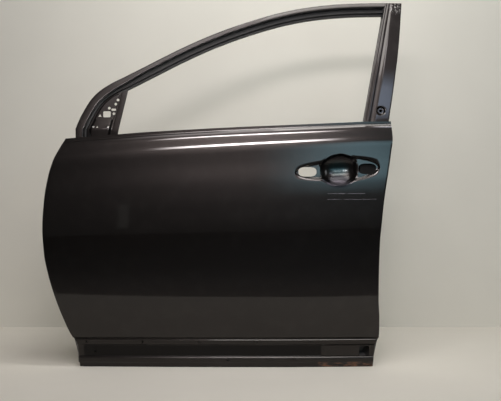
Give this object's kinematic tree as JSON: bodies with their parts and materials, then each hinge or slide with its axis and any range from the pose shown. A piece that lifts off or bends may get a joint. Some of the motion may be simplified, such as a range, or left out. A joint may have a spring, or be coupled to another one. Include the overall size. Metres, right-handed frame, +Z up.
{
  "type": "car door shell",
  "caption": "Bare front door shell of a car: hemmed outer skin with stamped handle recess, inner panel, window frame, belt rails and side impact beam.",
  "frame": {"origin": "middle of the upper hinge face, midway between its two bolt holes", "axes": "+X to the rear of the car, +Y into the car, +Z up"},
  "size_m": [1.1919, 0.2324, 1.2217],
  "materials": {
    "body_paint": "dark grey metallic clear coat",
    "frame_paint": "dark grey metallic, thinner and duller on inner faces",
    "inner_paint": "satin body colour over primer",
    "bare_steel": "zinc plated",
    "mastic": "dull",
    "bitumen": "dull"
  },
  "bodies": {
    "root": {"outer_panel": "body_paint", "header_outer": "frame_paint", "header_inner": "frame_paint", "lock_pillar_outer": "frame_paint", "lock_pillar_inner": "frame_paint", "front_glass_guide": "frame_paint", "mirror_sail_plate": "frame_paint", "mirror_bracket": "frame_paint", "inner_panel": "inner_paint", "frame_corner_gusset": "inner_paint", "rear_glass_guide": "inner_paint", "belt_reinforcement_outer": "inner_paint", "belt_reinforcement_inner": "inner_paint", "impact_beam": "inner_paint", "beam_bracket_front": "inner_paint", "beam_bracket_rear": "inner_paint", "hinge_reinforcement_upper": "inner_paint", "hinge_reinforcement_lower": "inner_paint", "check_link_reinforcement": "inner_paint", "latch_reinforcement": "inner_paint", "handle_reinforcement": "inner_paint", "front_guide_bracket": "inner_paint", "rear_guide_bracket": "inner_paint", "hinge_nut_plate_upper": "bare_steel", "hinge_nut_plate_lower": "bare_steel", "mirror_weld_nut_1": "bare_steel", "mirror_weld_nut_2": "bare_steel", "mirror_weld_nut_3": "bare_steel", "mastic_pad_1": "mastic", "mastic_pad_2": "mastic", "mastic_pad_3": "mastic", "mastic_pad_4": "mastic", "damping_sheet": "bitumen"}
  },
  "joints": []
}
